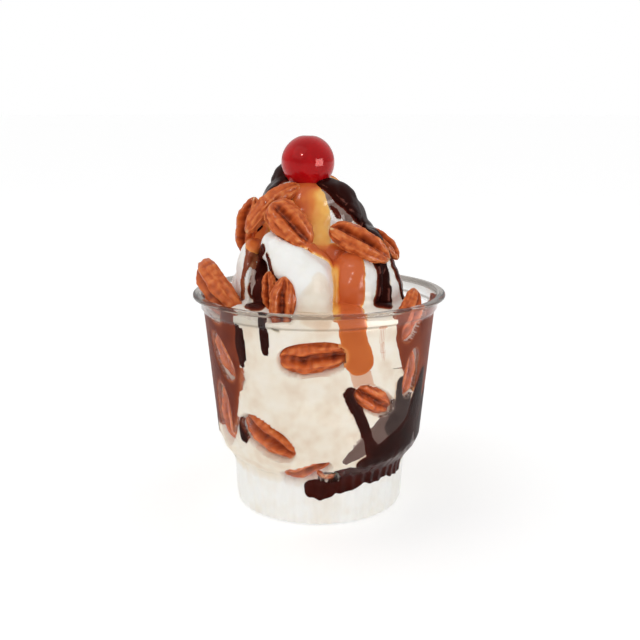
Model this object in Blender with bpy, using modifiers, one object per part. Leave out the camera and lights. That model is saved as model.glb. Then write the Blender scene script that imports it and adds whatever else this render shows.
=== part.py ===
"""An ice cream sundae in its clear plastic cup, standing on the origin with its front to -Y.

Three scoops of frozen custard fill a squat cup with a fluted foot and rise over its rim. A layer of
hot fudge runs between the two lower scoops, thick runs of caramel and fudge lie on the top one, pecan
halves stick in all of them and against the wall, and a cherry sits on the peak.
"""

import math

import bmesh
import bpy
from mathutils import Matrix, Vector
from mathutils.bvhtree import BVHTree

MM = 0.001

# The cup, in millimetres
RIM_RADIUS = 46.0
CUP_HEIGHT = 79.0
LIP_THICKNESS = 1.2
WALL = 0.6
FLUTES = 52
FLUTE_DEPTH = 0.35
FLUTE_FOOT = 1.0
FLUTE_TOP = 26.5
FLUTE_RUNOUT = 6.0
CAVITY_STEPS = 40
MERGE = 0.01
# Its outer side as (radius, height), from the shelf under the lip down to the foot
OUTER_SIDE = [
    (43.2, 73.9),
    (42.5, 73.2),
    (37.9, FLUTE_TOP),
    (36.6, 23.4),
    (32.5, 18.6),
    (31.7, 15.6),
    (31.0, FLUTE_FOOT),
    (30.2, 0.0),
]

# How far the lip's edges lie from the wall's inner face or from the rim, and how round it is
LIP_INSET = 0.5
LIP_SHELF = 0.4
LIP_ROUND = 0.5
LIP_TAPER = 0.2

# The gap left between neighbouring solids, and from the food to the wall
GAP = 0.3
BASE_TOP = 21.0
MIDDLE_TOP = 59.0

CHERRY_RADIUS = 9.4
CHERRY_CENTRE = (-3.9, -4.0, 125.7)
CHERRY_DIMPLE = 0.05

# Round masses of custard over the cup, as (centre), (radii)
TOP_LUMPS = [
    ((0, 0, 63), (52, 52, 9)),
    ((-2, -12, 71), (44, 38, 9)),
    ((-3, -2, 80), (29, 28, 14)),
    ((-1, 1, 92), (23, 22, 18)),
    ((-2, 1, 104), (18, 17, 14)),
    ((-3, 0, 111), (16, 14, 9.5)),
    ((-9, 4, 117), (7, 7, 8)),
    ((-15.5, -20, 97), (4.5, 6, 5.5)),
    ((-9, -20, 92), (9, 9, 9)),
    ((-4, -20, 85), (10, 13, 12)),
    ((-2, -22, 78), (9, 13, 10)),
    ((-23, -12, 86), (6, 9, 13)),
    ((15, -8, 87), (12, 14, 15)),
    ((12, -19, 84), (9, 11, 12)),
    ((22, -10, 80), (7.5, 13, 12)),
    ((2, 15, 91), (18, 13, 17)),
    ((-17, 5, 92), (11, 13, 14)),
]

# Thick sauce on the top scoop, as (x, height, radius) of beads, seen from the front or from the back
FRONT_RUNS = [
    [(-2, 116, 6), (-2, 111, 7), (-2, 105, 7), (2, 101, 6), (7, 98, 5), (11, 94, 5), (11, 76, 5)],
    [(4, 118, 5), (8, 115, 5), (12, 111, 5), (15, 106, 5), (18, 101, 4)],
    [(21, 93, 4), (21, 78, 4)],
    [(25, 94, 3), (27, 90, 3), (27, 80, 3)],
    [(-12, 118, 5), (-16, 113, 5), (-19, 107, 5), (-21, 101, 5), (-20, 88, 5), (-19, 81, 5)],
]
BACK_RUNS = [
    [(4, 117, 6), (7, 108, 6), (9, 98, 6), (8, 84, 5)],
    [(-8, 116, 5), (-13, 104, 5), (-15, 90, 5)],
]
RUN_HEIGHT = 1.2
BEAD_STEP = 2.5
# Size of the small cubes that join the lumps, and the triangles left afterwards
TOP_GRAIN = 1.3
TOP_TRIANGLES = 1000

# The fudge between the two lower scoops, thickest at the right wall, as (centre), (radii)
FUDGE_LUMPS = [
    ((0, -30, 14.0), (6, 7, 4)),
    ((9, -28, 18.5), (9, 9, 6.5)),
    ((19, -24, 21), (11, 11, 7.5)),
    ((28, -16, 21.5), (10, 11, 8)),
    ((35, -10, 30), (7, 11, 9)),
    ((12, -14, 20), (17, 15, 4)),
]
FUDGE_GRAIN = 1.0
FUDGE_TRIANGLES = 240

# Pecan halves: name, centre, direction of the length, direction the ridged side faces, length, and
# width as a share of the length
PECANS = [
    ("pecan_top_left", (-16.6, -12.5, 110.5), (-18, -5, -15.5), (-0.6, 0.0, 0.75), 25, 0.40),
    ("pecan_behind_left", (-25.2, -1.5, 102.5), (1.5, 0, 10), (-0.6, -0.8, 0.1), 21, 0.48),
    ("pecan_under_cherry", (-9.6, -22.6, 105.6), (14, -3, -15), (0.1, -0.85, 0.4), 19.5, 0.62),
    ("pecan_upper_right", (14.0, -22.0, 99.3), (19, -1, -10), (0.15, -0.8, 0.6), 23, 0.44),
    ("pecan_behind_right", (22.8, -10.0, 97.4), (7, -1, -6.5), (0.4, -0.6, 0.7), 15, 0.42),
    ("pecan_front", (-12.0, -33, 80.5), (1, 1, 10), (-0.1, -1, 0.2), 18, 0.50),
    ("pecan_front_fudged", (-16.6, -27.6, 83.6), (-1, 2, 10), (-0.5, -0.9, 0.2), 13.5, 0.43),
    ("pecan_in_fudge", (2.2, -27.5, 19.3), (0.3, -9.9, -0.1), (0.3, 0.1, 1), 17, 0.55),
    ("pecan_back_top", (-9, 15, 107), (8, 5, -5), (-0.2, 0.8, 0.6), 24, 0.50),
    ("pecan_back_right", (15, 17, 95.5), (-5, 4, 6), (0.5, 0.7, 0.5), 22, 0.46),
    ("pecan_back_left", (-20, 17, 92), (2, 3, -9), (-0.6, 0.7, 0.3), 22, 0.52),
]

# Pecan halves pressed to the wall: name, turn from the front, height, lean from level, how far the end
# that starts the length tips out of the cup, length, width. The turn, lean and tip are degrees.
WALL_PECANS = [
    ("pecan_on_left_rim", -68.5, 81.5, -36, 17, 28.5, 0.46),
    ("pecan_right_rim", 51, 74.5, 58, 0, 20, 0.50),
    ("pecan_wall_left_top", -56, 60.0, -52, 0, 21, 0.48),
    ("pecan_wall_left", -61, 38.5, 93, 0, 25, 0.46),
    ("pecan_wall_front", -3, 63.5, 6, 0, 25, 0.50),
    ("pecan_wall_right", 53, 54.5, 80, 0, 20, 0.48),
    ("pecan_wall_low_right", 29, 47.5, -33, 0, 20, 0.46),
    ("pecan_wall_low_left", -29, 33.5, -31, 0, 24.5, 0.46),
    ("pecan_on_shoulder", -8, 23.0, 27, 0, 21.5, 0.36),
    ("pecan_wall_back_right", 141, 50.0, 60, 0, 23, 0.50),
    ("pecan_wall_back_left", 218, 42.0, 12, 0, 24, 0.47),
]
PECAN_THICKNESS = 0.36
PECAN_TAPER = 0.1
PECAN_ARCH = 0.05
FLAT_SIDE = 0.6
GROOVE = 0.45
PECAN_SIDES = 16
POCKET_SIDES = 10
POCKET_SCALE = 1.04
POCKET_MOUTH = 3
PECAN_RINGS = 6

# Colour, roughness
CLEAR_PLASTIC = ((0.85, 0.88, 0.9), 0.08)
CUSTARD = ((0.9, 0.86, 0.76), 0.45)
FUDGE = ((0.035, 0.012, 0.008), 0.2)
CHERRY_RED = ((0.6, 0.01, 0.015), 0.12)
PECAN_BROWN = ((0.45, 0.13, 0.04), 0.4)


# The scene and its collections

def empty_scene():
    for obj in list(bpy.data.objects):
        bpy.data.objects.remove(obj, do_unlink=True)


def new_collection(name):
    collection = bpy.data.collections.new(name)
    bpy.context.scene.collection.children.link(collection)
    return collection


def new_material(name, look):
    colour, roughness = look
    material = bpy.data.materials.new(name)
    material.use_nodes = True
    shader = material.node_tree.nodes["Principled BSDF"]
    shader.inputs["Base Color"].default_value = (*colour, 1)
    shader.inputs["Roughness"].default_value = roughness
    shader.inputs["Metallic"].default_value = 0
    material.diffuse_color = (*colour, 1)
    return material


def new_object(name, bm, collection, material=None):
    """An object made from a bmesh held in millimetres, which is freed."""
    bmesh.ops.recalc_face_normals(bm, faces=bm.faces)
    if bm.calc_volume(signed=True) < 0:
        bmesh.ops.reverse_faces(bm, faces=bm.faces)
    bmesh.ops.scale(bm, vec=(MM, MM, MM), verts=bm.verts)
    mesh = bpy.data.meshes.new(name)
    bm.to_mesh(mesh)
    bm.free()
    mesh.shade_smooth()
    obj = bpy.data.objects.new(name, mesh)
    collection.objects.link(obj)
    if material:
        mesh.materials.append(material)
    return obj


def hide(obj):
    obj.hide_render = True
    obj.display_type = "WIRE"
    return obj


def apply_modifiers(obj):
    """Replaces the mesh by its evaluated one and drops any loose scrap that a cut has left."""
    graph = bpy.context.evaluated_depsgraph_get()
    mesh = bpy.data.meshes.new_from_object(obj.evaluated_get(graph))
    obj.modifiers.clear()
    obj.data = mesh
    bm = bmesh.new()
    bm.from_mesh(mesh)
    keep_largest_island(bm)
    bm.to_mesh(mesh)
    bm.free()
    mesh.shade_smooth()
    mesh.set_sharp_from_angle(angle=math.radians(35))


def keep_largest_island(bm):
    left = set(bm.faces)
    islands = []
    while left:
        face = left.pop()
        island = [face]
        for face in island:
            for edge in face.edges:
                near = [other for other in edge.link_faces if other in left]
                left.difference_update(near)
                island.extend(near)
        islands.append(island)
    largest = max(islands, key=len)
    scraps = [face for island in islands if island is not largest for face in island]
    bmesh.ops.delete(bm, geom=scraps, context="FACES")


# The cup

def side_radius(height):
    """Outer radius of the cup at a height."""
    side = OUTER_SIDE[::-1]
    for (low_r, low_z), (high_r, high_z) in zip(side, side[1:]):
        if height <= high_z:
            share = max(0.0, (height - low_z) / (high_z - low_z))
            return low_r + (high_r - low_r) * share
    return side[-1][0]


def food_radius(height):
    """How far out the food may reach at a height, in or over the cup."""
    if height > CUP_HEIGHT + GAP:
        return RIM_RADIUS
    flute = FLUTE_DEPTH * (height < FLUTE_TOP)
    return side_radius(height) - WALL - GAP - flute


def flute_fade(height):
    """How deep the flutes are at a height: none at the foot's edge and on the upper wall."""
    if not 0 < height < FLUTE_TOP:
        return 0.0
    return min(1.0, (FLUTE_TOP - height) / FLUTE_RUNOUT)


def lip_profile():
    """The lip's section, from the wall's inner side over the top to its outer side."""
    top, low = CUP_HEIGHT, CUP_HEIGHT - LIP_THICKNESS
    inner = side_radius(CUP_HEIGHT) - WALL
    return [
        (inner + LIP_INSET, top),
        (RIM_RADIUS - LIP_ROUND, top),
        (RIM_RADIUS, top - LIP_ROUND),
        (RIM_RADIUS - LIP_TAPER, low),
        (inner + WALL + LIP_SHELF, low),
    ]


def build_cup(collection):
    outer = OUTER_SIDE + [(0.0, 0.0)]
    inner = [(radius - WALL, max(height, WALL)) for radius, height in OUTER_SIDE[::-1]]
    section = [(0.0, WALL)] + inner + lip_profile() + outer
    bm = bmesh.new()
    verts = [bm.verts.new((radius, 0, height)) for radius, height in section]
    edges = [bm.edges.new(pair) for pair in zip(verts, verts[1:])]
    bmesh.ops.spin(
        bm, geom=verts + edges, cent=(0, 0, 0), axis=(0, 0, 1),
        angle=2 * math.pi, steps=2 * FLUTES, use_merge=True,
    )
    bmesh.ops.remove_doubles(bm, verts=bm.verts, dist=MERGE)
    for vert in bm.verts:
        flat = Vector((vert.co.x, vert.co.y, 0))
        if flat.length > side_radius(0) - 2 * WALL:
            angle = math.atan2(flat.y, flat.x)
            vert.co += flat.normalized() * FLUTE_DEPTH * math.cos(FLUTES * angle) * flute_fade(vert.co.z)
    return new_object("cup", bm, collection, new_material("clear plastic", CLEAR_PLASTIC))


def build_cavity(collection):
    """What the food may fill: the cup's inside less the gap, open wide above the rim."""
    floor = WALL + GAP
    section = [(0.0, floor)]
    section += [(food_radius(height), max(height, floor)) for _, height in OUTER_SIDE[::-1]]
    section += [(food_radius(CUP_HEIGHT), CUP_HEIGHT + GAP), (RIM_RADIUS, CUP_HEIGHT + 5)]
    section += [(RIM_RADIUS, 2 * CUP_HEIGHT), (0.0, 2 * CUP_HEIGHT)]
    bm = bmesh.new()
    verts = [bm.verts.new((radius, 0, height)) for radius, height in section]
    edges = [bm.edges.new(pair) for pair in zip(verts, verts[1:])]
    bmesh.ops.spin(
        bm, geom=verts + edges, cent=(0, 0, 0), axis=(0, 0, 1),
        angle=2 * math.pi, steps=CAVITY_STEPS, use_merge=True,
    )
    bmesh.ops.remove_doubles(bm, verts=bm.verts, dist=MERGE)
    return hide(new_object("cavity", bm, collection))


# Pecans and cherry

def pecan_mesh(length, width, groove, sides):
    """A pecan half along X with its grooved side to +Z, in millimetres."""
    bm = bmesh.new()
    bmesh.ops.create_uvsphere(bm, u_segments=sides, v_segments=PECAN_RINGS, radius=1)
    for vert in bm.verts:
        along = vert.co.z
        around = math.atan2(vert.co.y, vert.co.x)
        girth = math.sqrt(max(0.0, 1 - abs(along) ** 2.5)) * (1 - PECAN_TAPER * along)
        side, height = math.cos(around), math.sin(around)
        if height > 0:
            height *= 1 - groove * max(0.0, math.cos(4 * (around - math.pi / 2)))
        else:
            height *= FLAT_SIDE
        vert.co = length / 2 * Vector((
            along,
            width * girth * side,
            PECAN_THICKNESS * girth * height - 2 * PECAN_ARCH * along * along,
        ))
    return bm


def pecan_frame(centre, along, facing):
    x_axis = Vector(along).normalized()
    z_axis = (Vector(facing) - Vector(facing).dot(x_axis) * x_axis).normalized()
    y_axis = z_axis.cross(x_axis)
    turn = Matrix((x_axis, y_axis, z_axis)).transposed().to_4x4()
    return Matrix.Translation(centre) @ turn


def wall_pose(turn, height, lean, tip):
    """Where a pecan pressed to the wall starts from, and the ways it lies and faces."""
    angle = math.radians(turn)
    outward = Vector((math.sin(angle), -math.cos(angle), 0))
    level = Vector((math.cos(angle), math.sin(angle), 0))
    slope = (side_radius(height + 4) - side_radius(height - 4)) / 8
    up_wall = Vector((outward.x * slope, outward.y * slope, 1)).normalized()
    along = level * math.cos(math.radians(lean)) + up_wall * math.sin(math.radians(lean))
    along = along * math.cos(math.radians(tip)) - outward * math.sin(math.radians(tip))
    centre = outward * side_radius(height) + Vector((0, 0, height))
    return centre, along, level.cross(up_wall)


def clear_of_wall(centre, along, facing, length, width):
    """Moves a pecan towards the axis until the whole of it is inside the cup, and gives its place."""
    mesh = pecan_mesh(length, width, 0, PECAN_SIDES)
    centre = Vector(centre)
    inward = -Vector((centre.x, centre.y, 0)).normalized()
    while True:
        place = pecan_frame(centre, along, facing)
        points = [place @ vert.co for vert in mesh.verts]
        if all(point.xy.length < food_radius(point.z) for point in points):
            break
        centre += inward * 0.1
    mesh.free()
    return place


def build_pecans(collection, pockets):
    """The pecans, and the hollows that they leave in the food, open to the wall where they touch it."""
    material = new_material("pecan", PECAN_BROWN)
    rows = [(name, pose, (length, width), 1) for name, *pose, length, width in PECANS]
    rows += [
        (name, wall_pose(*pose), (length, width), POCKET_MOUTH)
        for name, *pose, length, width in WALL_PECANS
    ]
    for name, pose, (length, width), opening in rows:
        place = clear_of_wall(*pose, length, width)
        place.translation *= MM
        pecan = new_object(name, pecan_mesh(length, width, GROOVE, PECAN_SIDES), collection, material)
        pecan.matrix_world = place
        hollow = pecan_mesh(length * POCKET_SCALE, width, 0, POCKET_SIDES)
        for vert in hollow.verts:
            if vert.co.z > 0:
                vert.co.z *= opening
        pocket = hide(new_object(f"pocket_{name}", hollow, pockets))
        pocket.matrix_world = place
        swell(pocket)


def swell(obj):
    grow = obj.modifiers.new("gap", "DISPLACE")
    grow.strength = GAP * MM
    grow.mid_level = 0


def build_cherry(collection, cutters):
    material = new_material("cherry", CHERRY_RED)
    for name, home, radius in (
        ("cherry", collection, CHERRY_RADIUS),
        ("pocket_cherry", cutters, CHERRY_RADIUS + GAP),
    ):
        bm = bmesh.new()
        bmesh.ops.create_uvsphere(bm, u_segments=18, v_segments=10, radius=radius)
        stalk_end = max(bm.verts, key=lambda vert: vert.co.z)
        stalk_end.co.z -= CHERRY_DIMPLE * radius
        obj = new_object(name, bm, home, material)
        obj.location = Vector(CHERRY_CENTRE) * MM
        if home is cutters:
            hide(obj)


# Custard and fudge

def lump_mesh(lumps):
    bm = bmesh.new()
    for centre, radii in lumps:
        place = Matrix.Translation(centre) @ Matrix.Diagonal((*radii, 1))
        bmesh.ops.create_icosphere(bm, subdivisions=3, radius=1, matrix=place)
    return bm


def add_run(bm, run, surface, side):
    """Beads of sauce half sunk in the scoop, where a ray from the front (-1) or the back (1) meets it."""
    for start, end in zip(run, run[1:]):
        steps = max(1, round(math.dist(start, end) / BEAD_STEP))
        for step in range(steps):
            x, z, radius = Vector(start).lerp(Vector(end), step / steps)
            point, normal, _, _ = surface.ray_cast(Vector((x, side * 60, z)), Vector((0, -side, 0)))
            if point is None:
                continue
            place = Matrix.Translation(point - normal * (radius - RUN_HEIGHT))
            bmesh.ops.create_icosphere(bm, subdivisions=2, radius=radius, matrix=place)


def fuse(obj, voxel, triangles):
    """Joins overlapping lumps into one soft body of about that many triangles."""
    remesh = obj.modifiers.new("join", "REMESH")
    remesh.mode = "VOXEL"
    remesh.voxel_size = voxel * MM
    smooth = obj.modifiers.new("soften", "SMOOTH")
    smooth.factor = 0.5
    smooth.iterations = 6
    apply_modifiers(obj)
    thin = obj.modifiers.new("thin", "DECIMATE")
    thin.ratio = triangles / (2 * len(obj.data.polygons))
    apply_modifiers(obj)


def cut(obj, operation, cutter):
    boolean = obj.modifiers.new(operation.lower(), "BOOLEAN")
    boolean.operation = operation
    boolean.solver = "EXACT"
    if isinstance(cutter, bpy.types.Collection):
        boolean.operand_type = "COLLECTION"
        boolean.collection = cutter
    else:
        boolean.object = cutter


def base_top(x, y):
    return BASE_TOP + 1.2 * math.sin(x / 9) + math.cos(y / 8)


def middle_top(x, y):
    return MIDDLE_TOP + 1.4 * math.sin(x / 8 + 1) + 1.2 * math.cos(y / 7)


def slab(name, low, high, collection):
    """A block as wide as the cup between two wavy surfaces, or to a flat height where one is a number."""
    bm = bmesh.new()
    bmesh.ops.create_grid(bm, x_segments=9, y_segments=9, size=RIM_RADIUS)
    floor = list(bm.verts)
    top = bmesh.ops.extrude_face_region(bm, geom=list(bm.faces))["geom"]
    ceiling = [item for item in top if isinstance(item, bmesh.types.BMVert)]
    for verts, height in ((floor, low), (ceiling, high)):
        for vert in verts:
            vert.co.z = height(vert.co.x, vert.co.y) if callable(height) else height
    return new_object(name, bm, collection)


def build_scoops(collection, cutters, pockets, cavity):
    white = new_material("custard", CUSTARD)
    dark = new_material("fudge", FUDGE)

    fudge = new_object("fudge_layer", lump_mesh(FUDGE_LUMPS), collection, dark)
    fuse(fudge, FUDGE_GRAIN, FUDGE_TRIANGLES)
    round_fudge = hide(fudge.copy())
    round_fudge.name = "pocket_fudge_layer"
    cutters.objects.link(round_fudge)
    swell(round_fudge)

    base = slab("custard_base", 0, lambda x, y: base_top(x, y) - GAP / 2, collection)
    middle = slab(
        "custard_middle", lambda x, y: base_top(x, y) + GAP / 2,
        lambda x, y: middle_top(x, y) - GAP / 2, collection,
    )
    below = hide(slab("below_top_scoop", 0, lambda x, y: middle_top(x, y) + GAP / 2, cutters))

    lumps = lump_mesh(TOP_LUMPS)
    surface = BVHTree.FromBMesh(lumps)
    for run in FRONT_RUNS:
        add_run(lumps, run, surface, -1)
    for run in BACK_RUNS:
        add_run(lumps, run, surface, 1)
    top = new_object("custard_top", lumps, collection, white)
    fuse(top, TOP_GRAIN, TOP_TRIANGLES)

    for scoop in (base, middle):
        scoop.data.materials.append(white)
        cut(scoop, "INTERSECT", cavity)
        cut(scoop, "DIFFERENCE", round_fudge)
    cut(fudge, "INTERSECT", cavity)
    cut(top, "INTERSECT", cavity)
    cut(top, "DIFFERENCE", below)
    for body in (base, middle, fudge, top):
        cut(body, "DIFFERENCE", pockets)
        apply_modifiers(body)


def build():
    empty_scene()
    sundae = new_collection("ice cream sundae")
    cutters = new_collection("cutters")
    pockets = new_collection("pockets")
    cutters.hide_render = True
    pockets.hide_render = True
    build_cup(sundae)
    cavity = build_cavity(cutters)
    build_pecans(sundae, pockets)
    build_cherry(sundae, pockets)
    build_scoops(sundae, cutters, pockets, cavity)


build()
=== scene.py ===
"""A frozen custard sundae in a clear plastic cup, with caramel, hot fudge, pecan halves and a cherry."""

import math

import bmesh
import bpy
import numpy as np
from mathutils import Matrix, Vector, noise
from mathutils.bvhtree import BVHTree


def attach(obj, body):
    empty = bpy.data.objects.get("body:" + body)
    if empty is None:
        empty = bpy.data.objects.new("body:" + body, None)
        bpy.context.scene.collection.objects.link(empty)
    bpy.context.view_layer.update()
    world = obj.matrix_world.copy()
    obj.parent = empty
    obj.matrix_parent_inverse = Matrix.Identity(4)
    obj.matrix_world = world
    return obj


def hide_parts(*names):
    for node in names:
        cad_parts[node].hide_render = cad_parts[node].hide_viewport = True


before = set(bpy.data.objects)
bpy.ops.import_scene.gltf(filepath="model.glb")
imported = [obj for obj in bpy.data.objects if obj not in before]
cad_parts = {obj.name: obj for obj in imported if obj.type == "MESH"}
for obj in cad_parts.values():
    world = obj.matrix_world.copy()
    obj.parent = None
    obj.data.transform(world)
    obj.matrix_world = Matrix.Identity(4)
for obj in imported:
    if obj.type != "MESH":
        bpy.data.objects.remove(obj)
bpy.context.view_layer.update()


# The cup is one thin shell of clear plastic, drawn from a warm sheet over a mould: a rolled lip, a small
# shelf under it where cups stack, plain sides that narrow downwards, and a fluted foot.

MM = 0.001
RIM_RADIUS = 46.0
CUP_HEIGHT = 79.0
CUP_WALL = 0.6
FLUTES = 52
FLUTE_DEPTH = 0.28
FLUTE_TOP = 26.5
# The underside is flat out to this radius
FOOT_FLAT = 29.0
# The cup's outer side from its foot up to the lip, as (radius, height) in millimetres
CUP_SIDE = [
    (30.2, 0.0), (31.0, 1.0), (31.7, 15.6), (32.5, 18.6), (36.6, 23.4), (37.9, FLUTE_TOP),
    (42.5, 73.2), (43.2, 73.9), (43.2, CUP_HEIGHT),
]
CUP_STEPS = 6 * FLUTES
# The corners are eased by these lengths, one after the other
CORNER_CUTS = (0.8, 0.3)
# What is pressed to the wall reaches this far into it, so that no air shows between them
CONTACT = 0.1


def tone(red, green, blue):
    """A shader colour from one given as 0 to 255."""
    parts = [part / 255 for part in (red, green, blue)]
    return (*[part / 12.92 if part <= 0.04045 else ((part + 0.055) / 1.055) ** 2.4 for part in parts], 1.0)


def finish_for(name, **sockets):
    """A material whose shader has these even values, and that shader."""
    material = bpy.data.materials.new(name)
    material.use_nodes = True
    shader = material.node_tree.nodes["Principled BSDF"]
    for socket, value in sockets.items():
        shader.inputs[socket.replace("_", " ")].default_value = value
    return material, shader


def wire(material, kind, inputs, **settings):
    """A shader node with its settings and inputs, each a value or another node's output."""
    made = material.node_tree.nodes.new("ShaderNode" + kind)
    for name, value in settings.items():
        setattr(made, name, value)
    for socket, value in inputs.items():
        if isinstance(value, bpy.types.NodeSocket):
            material.node_tree.links.new(value, made.inputs[socket])
        else:
            made.inputs[socket].default_value = value
    return made


def grain(material, scale, detail=4.0, stretch=(1, 1, 1)):
    """Noise of that many lumps to the metre, fixed to the piece."""
    place = wire(material, "TexCoord", {}).outputs["Object"]
    place = wire(material, "Mapping", {"Vector": place, "Scale": stretch}).outputs["Vector"]
    return wire(material, "TexNoise", {"Vector": place, "Scale": scale, "Detail": detail}).outputs["Fac"]


def shades(material, value, stops):
    """A colour that runs through these stops, as (place, colour), as the value goes from 0 to 1."""
    ramp = wire(material, "ValToRGB", {"Fac": value})
    band = ramp.color_ramp
    while len(band.elements) < len(stops):
        band.elements.new(0.5)
    for element, (place, colour) in zip(band.elements, stops):
        element.position = place
        element.color = colour
    return ramp.outputs["Color"]


def roughen(material, shader, height, distance, strength=1.0):
    """Bumps of that many millimetres under the finish."""
    bump = wire(material, "Bump", {"Height": height, "Distance": distance * MM, "Strength": strength})
    material.node_tree.links.new(bump.outputs["Normal"], shader.inputs["Normal"])


def blended(material, share, under, over):
    """A colour between two, each an output or an even colour."""
    return wire(material, "Mix", {0: share, 6: under, 7: over}, data_type="RGBA").outputs[2]


def paint(material, shader, colour):
    """Gives the finish this colour."""
    material.node_tree.links.new(colour, shader.inputs["Base Color"])


def set_down(name, bm, material, slot, *nodes):
    """Makes a piece of a bmesh held in millimetres, and says which solids it stands for."""
    bmesh.ops.recalc_face_normals(bm, faces=bm.faces)
    if bm.calc_volume(signed=True) < 0:
        bmesh.ops.reverse_faces(bm, faces=bm.faces)
    bmesh.ops.scale(bm, vec=(MM, MM, MM), verts=bm.verts)
    mesh = bpy.data.meshes.new(name)
    bm.to_mesh(mesh)
    bm.free()
    mesh.shade_smooth()
    mesh.set_sharp_from_angle(angle=math.radians(50))
    mesh.materials.append(material)
    piece = bpy.data.objects.new(name, mesh)
    bpy.context.scene.collection.objects.link(piece)
    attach(piece, "root")
    if nodes:
        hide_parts(*nodes)
    return piece


def side_radius(height):
    """Outer radius of the cup's plain shape at a height."""
    for (low_r, low_z), (high_r, high_z) in zip(CUP_SIDE, CUP_SIDE[1:]):
        if height <= high_z:
            share = max(0.0, (height - low_z) / (high_z - low_z))
            return low_r + (high_r - low_r) * share
    return CUP_SIDE[-1][0]


def flute(angle, height):
    """How far the flutes push the foot's wall out there."""
    fade = min(1.0, (FLUTE_TOP - height) / 6) if 0 < height < FLUTE_TOP else 0.0
    return FLUTE_DEPTH * math.cos(FLUTES * angle) * fade


def inner_wall(point):
    """Radius of the cup's inner face at the height and the turn of a point."""
    return side_radius(point.z) - CUP_WALL + flute(math.atan2(point.y, point.x), point.z)


def eased(profile, cut):
    """The profile with each corner taken off by up to that much."""
    soft = [profile[0]]
    for before, corner, after in zip(profile, profile[1:], profile[2:]):
        for end in (before, after):
            reach = min(cut, math.dist(corner, end) / 3) / math.dist(corner, end)
            soft.append(tuple(c + (e - c) * reach for c, e in zip(corner, end)))
    return soft + [profile[-1]]


def turned(profile, steps):
    """A closed body spun from a profile that starts and ends on the axis."""
    bm = bmesh.new()
    verts = [bm.verts.new((radius, 0, height)) for radius, height in profile]
    edges = [bm.edges.new(pair) for pair in zip(verts, verts[1:])]
    bmesh.ops.spin(
        bm, geom=verts + edges, cent=(0, 0, 0), axis=(0, 0, 1), angle=2 * math.pi, steps=steps,
        use_merge=True,
    )
    bmesh.ops.remove_doubles(bm, verts=bm.verts, dist=0.003)
    return bm


outer_side = CUP_SIDE[:-1]
for cut in CORNER_CUTS:
    outer_side = eased(outer_side, cut)
lip_root = side_radius(CUP_HEIGHT) - CUP_WALL
rolled_lip = [
    (lip_root, 77.4), (lip_root + 0.15, 78.3), (lip_root + 0.6, 78.85), (lip_root + 1.2, CUP_HEIGHT),
    (45.0, CUP_HEIGHT), (45.6, 78.85), (45.92, 78.5), (RIM_RADIUS, 78.1), (45.9, 77.75), (45.6, 77.6),
    (44.6, 77.65), (43.8, 77.55), (43.3, 77.0),
]
inner_side = [(radius - CUP_WALL, max(height, CUP_WALL)) for radius, height in outer_side]
cup_bm = turned([(0, CUP_WALL)] + inner_side + rolled_lip + outer_side[::-1] + [(0, 0)], CUP_STEPS)
for vert in cup_bm.verts:
    if vert.co.xy.length > FOOT_FLAT:
        vert.co.xy += vert.co.xy.normalized() * flute(math.atan2(vert.co.y, vert.co.x), vert.co.z - 0.02)

clear_plastic, plastic_shader = finish_for(
    "clear drawn plastic", Roughness=0.04, IOR=1.32, Transmission_Weight=1.0,
)
plastic_place = wire(clear_plastic, "TexCoord", {}).outputs["Object"]
plastic_height = wire(clear_plastic, "MapRange", {
    "Value": wire(clear_plastic, "SeparateXYZ", {"Vector": plastic_place}).outputs["Z"],
    "From Min": 70 * MM, "From Max": 80 * MM,
}).outputs["Result"]
plastic_sheet = shades(clear_plastic, grain(clear_plastic, 60), [
    (0.3, tone(236, 235, 233)), (0.7, tone(246, 246, 245)),
])
# Painted shade: the plastic's colour is darkened at the stacking shelf and along the lip, where it is thick
# or bent, standing in for the dark lines these edges show
plastic_painted_edge_shade = shades(clear_plastic, plastic_height, [
    (0.30, tone(255, 255, 255)), (0.36, tone(170, 160, 152)), (0.42, tone(252, 252, 252)),
    (0.70, tone(236, 233, 230)), (0.80, tone(196, 188, 181)), (0.90, tone(168, 158, 150)),
])
paint(clear_plastic, plastic_shader, wire(clear_plastic, "Mix", {
    0: 1.0, 6: plastic_sheet, 7: plastic_painted_edge_shade,
}, data_type="RGBA", blend_type="MULTIPLY").outputs[2])
# Below the shelf the wet food lies against the wall, which then hardly shows; from the shelf up it is thick
clear_plastic.node_tree.links.new(wire(clear_plastic, "MapRange", {
    "Value": plastic_height, "From Min": 0.22, "From Max": 0.32, "To Min": 0.07, "To Max": 1.0,
}).outputs["Result"], plastic_shader.inputs["Alpha"])
roughen(clear_plastic, plastic_shader, grain(clear_plastic, 90, 1.0), 0.05)
cup = set_down("cup_wall", cup_bm, clear_plastic, "cup", "cup")
cup.visible_shadow = False


# The camera stands where the photograph was taken from, so that what is laid on the mound and on the wall
# below comes out where the photograph has it.

CAMERA_TILT = math.radians(12.2)
CAMERA_DISTANCE = 350.0
AIM_HEIGHT = 70.0
FOCAL_PIXELS = 950.0
PHOTO_SIDE = 640
AXIS_PIXEL = (319.1, 313.4)
sight_ahead = Vector((0, math.cos(CAMERA_TILT), -math.sin(CAMERA_TILT)))
sight_up = Vector((0, math.sin(CAMERA_TILT), math.cos(CAMERA_TILT)))
eye = Vector((
    0, -CAMERA_DISTANCE * math.cos(CAMERA_TILT), AIM_HEIGHT + CAMERA_DISTANCE * math.sin(CAMERA_TILT),
))

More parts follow.
